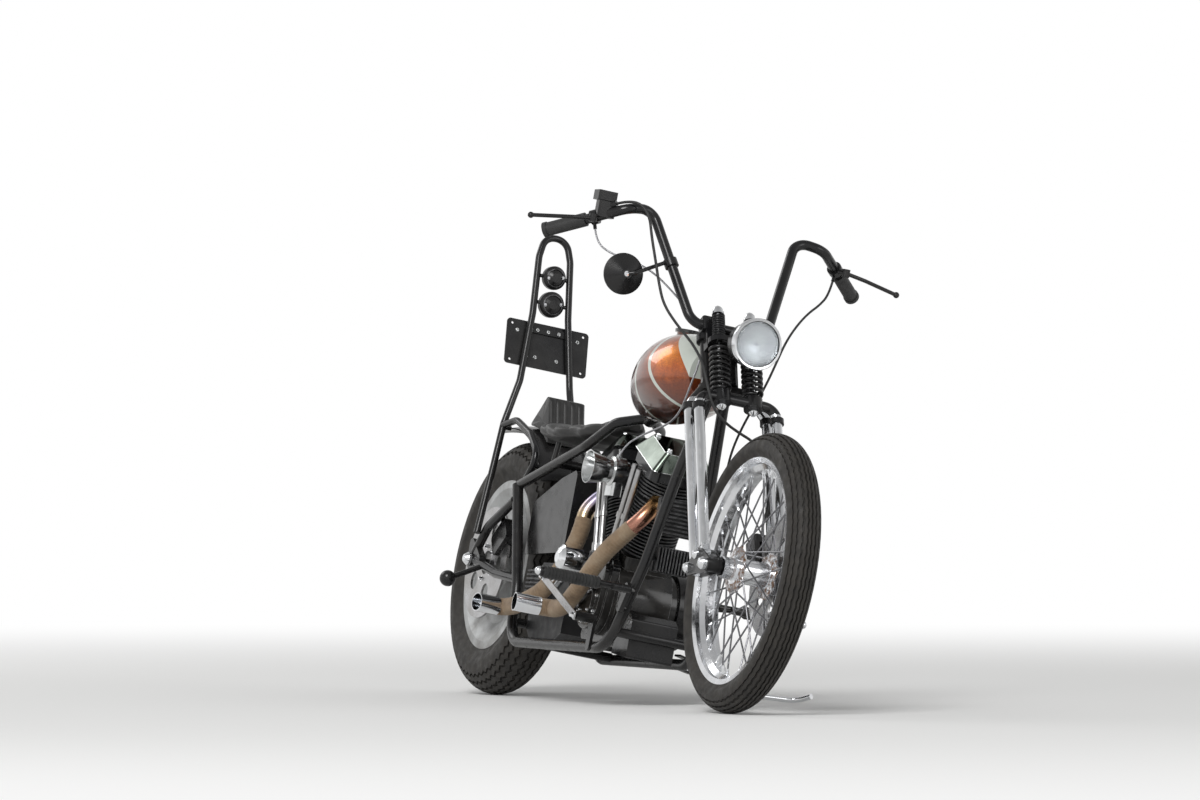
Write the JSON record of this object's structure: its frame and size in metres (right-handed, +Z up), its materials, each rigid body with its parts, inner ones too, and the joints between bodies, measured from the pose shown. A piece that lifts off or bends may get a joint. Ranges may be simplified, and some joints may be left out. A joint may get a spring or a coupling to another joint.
{
  "type": "chopper motorcycle",
  "caption": "Chopper motorcycle leaning on its side stand: springer fork, wire front wheel, fat rear tyre, finned V-twin engine, tall bars and a tall sissy bar.",
  "frame": {"origin": "on the floor under the middle of the machine as it leans on its side stand", "axes": "+X towards the front wheel, +Y to the rider's left, +Z up"},
  "size_m": [2.3278, 1.02, 1.2864],
  "materials": {
    "tank_paint": "candy copper metal flake under deep clear coat",
    "black_paint": "gloss black enamel",
    "engine_black": "satin black heat-proof paint",
    "chrome": "bright chrome",
    "polished_alloy": "polished alloy",
    "steel": "turned steel",
    "wheel_grey": "pale grey painted disc",
    "tyre_rubber": "moulded black tread and wall",
    "grip_rubber": "ribbed black rubber",
    "belt_rubber": "toothed belt",
    "cable_rubber": "black cable sheath",
    "cable_braid": "braided steel sheath",
    "seat_leather": "black leather with sewn pleats",
    "pipe_wrap": "woven heat wrap, browned",
    "lamp_glass": "clear moulded lens",
    "lamp_red": "red lens",
    "mirror_black": "black back"
  },
  "bodies": {
    "root": {"engine_case": "engine_black", "cylinders": "engine_black", "rocker_boxes": "polished_alloy", "pushrod_tubes": "steel", "carburettor": "polished_alloy", "primary_cover": "black_paint", "gearbox": "engine_black", "starter_motor": "chrome", "exhaust_pipes": "pipe_wrap", "exhaust_tips": "chrome", "frame": "black_paint", "frame_loops": "black_paint", "frame_cross_tubes": "black_paint", "swingarm": "black_paint", "fuel_tank": "tank_paint", "seat_pad": "seat_leather", "back_pad": "seat_leather", "rear_fender": "black_paint", "sissy_bar": "black_paint", "plate_bracket": "black_paint", "tail_lamps": "lamp_red", "oil_tank": "black_paint", "oil_cooler": "engine_black", "regulator": "engine_black", "front_mount": "black_paint", "foot_controls": "black_paint", "rear_caliper": "black_paint", "turn_signals": "black_paint", "drive_belt": "belt_rubber", "throttle_cable": "cable_braid", "clutch_cable": "cable_rubber"},
    "steering_set": {"fork_rear_legs": "black_paint", "fork_front_legs": "chrome", "fork_rockers": "black_paint", "fork_springs": "black_paint", "handlebar": "black_paint", "grips": "grip_rubber", "hand_levers": "black_paint", "mirror": "mirror_black", "headlight": "black_paint", "headlight_lens": "lamp_glass", "front_caliper": "black_paint", "brake_hose": "cable_rubber"},
    "front_wheel_set": {"front_tyre": "tyre_rubber", "front_wheel": "chrome", "front_brake_disc": "steel"},
    "rear_wheel_set": {"rear_tyre": "tyre_rubber", "rear_wheel_disc": "wheel_grey", "rear_brake_disc": "steel"},
    "stand_set": {"side_stand": "chrome"}
  },
  "joints": [
    {"name": "steering", "type": "hinge", "parent": "root", "child": "steering_set", "pos_m": [0.73386, -0.15447, 0.29212], "axis": [-0.515, 0.168, 0.8406], "range_deg": [-30, 30], "deforming": ["throttle_cable", "clutch_cable"]},
    {"name": "front_wheel_spin", "type": "hinge", "parent": "steering_set", "child": "front_wheel_set", "pos_m": [0.817, -0.14468, 0.34111], "axis": [0, 0.9806, -0.1959], "continuous": true},
    {"name": "rear_wheel_spin", "type": "hinge", "parent": "root", "child": "rear_wheel_set", "pos_m": [-0.833, -0.14773, 0.32586], "axis": [0, 0.9806, -0.1959], "continuous": true},
    {"name": "side_stand_swing", "type": "hinge", "parent": "root", "child": "stand_set", "pos_m": [0.119, -0.04067, 0.09613], "axis": [0, 0.3881, 0.9216], "range_deg": [0, 85]}
  ]
}
